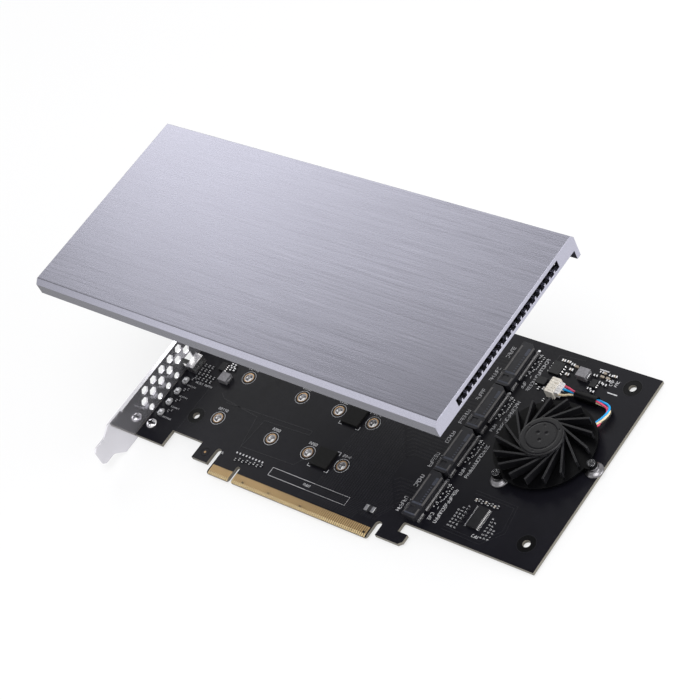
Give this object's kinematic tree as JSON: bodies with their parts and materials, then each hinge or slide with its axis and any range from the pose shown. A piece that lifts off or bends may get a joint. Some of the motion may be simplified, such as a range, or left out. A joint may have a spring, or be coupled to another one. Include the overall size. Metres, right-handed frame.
{
  "type": "nvme adapter card",
  "caption": "Expansion card that holds solid-state drives under a lifted aluminium cover, with a blower, a drive socket per row and a vented bracket.",
  "frame": {"origin": "middle of the contact key, on the contact edge, at the board's underside", "axes": "+X along the card away from the bracket, +Y from the contact edge to the back edge, +Z out of the component side"},
  "size_m": [0.214, 0.1223, 0.098],
  "materials": {
    "solder_mask": "satin near-black solder mask",
    "gold": "plated gold",
    "socket_plastic": "moulded black",
    "tinned_metal": "tinned",
    "nickel": "nickel plated",
    "support_rubber": "matt",
    "bracket_steel": "mirror polished",
    "screw_steel": "bright",
    "black_plastic": "moulded black",
    "led_body": "white moulding",
    "led_lens": "clear resin",
    "fan_plastic": "moulded black",
    "ferrite": "matt",
    "bearing_brass": "sintered",
    "laminated_steel": "laminated",
    "copper_wire": "enamelled copper",
    "cream_plastic": "moulded cream",
    "white_plastic": "moulded white",
    "red_insulation": "extruded",
    "blue_insulation": "extruded",
    "black_insulation": "extruded",
    "yellow_insulation": "extruded",
    "black_sleeve": "extruded",
    "inductor_grey": "pressed powder",
    "chip_black": "moulded",
    "capacitor_tan": "ceramic",
    "cover_aluminium": "brushed and anodised",
    "pad_grey": "soft pad"
  },
  "bodies": {
    "card": {"circuit_board": "solder_mask", "edge_contacts_top": "gold", "edge_contacts_back": "gold", "drive_socket_1": "socket_plastic", "drive_socket_2": "socket_plastic", "drive_socket_3": "socket_plastic", "drive_socket_4": "socket_plastic", "socket_anchor_tabs": "tinned_metal", "drive_inserts": "nickel", "drive_support_pads": "support_rubber", "bracket": "bracket_steel", "bracket_screws": "screw_steel", "switch_shell": "tinned_metal", "switch_base": "black_plastic", "status_led_bodies": "led_body", "status_led_lenses": "led_lens", "fan_base": "fan_plastic", "fan_bearing": "bearing_brass", "fan_stator": "laminated_steel", "fan_coils": "copper_wire", "fan_screws": "screw_steel", "fan_standoffs": "nickel", "fan_header": "cream_plastic", "fan_header_pins": "tinned_metal", "fan_plug": "white_plastic", "lead_wire_red": "red_insulation", "lead_wire_blue": "blue_insulation", "lead_wire_black": "black_insulation", "lead_wire_yellow": "yellow_insulation", "lead_sleeve": "black_sleeve", "power_inductors": "inductor_grey", "regulator_chips": "chip_black", "controller_chip": "chip_black", "chip_capacitors": "capacitor_tan", "chip_resistors": "chip_black", "cover": "cover_aluminium", "thermal_pads": "pad_grey", "air_guide": "black_plastic"},
    "rotor": {"fan_impeller": "fan_plastic", "fan_magnet": "ferrite", "fan_shaft": "screw_steel"},
    "lever": {"switch_lever": "black_plastic"}
  },
  "joints": [
    {"name": "fan_spin", "type": "hinge", "parent": "card", "child": "rotor", "pos_m": [0.1189, 0.0621, 0.006], "axis": [0, 0, 1], "continuous": true},
    {"name": "switch_slide", "type": "slide", "parent": "card", "child": "lever", "axis": [0, 1, 0], "range_m": [0, 0.002]}
  ]
}
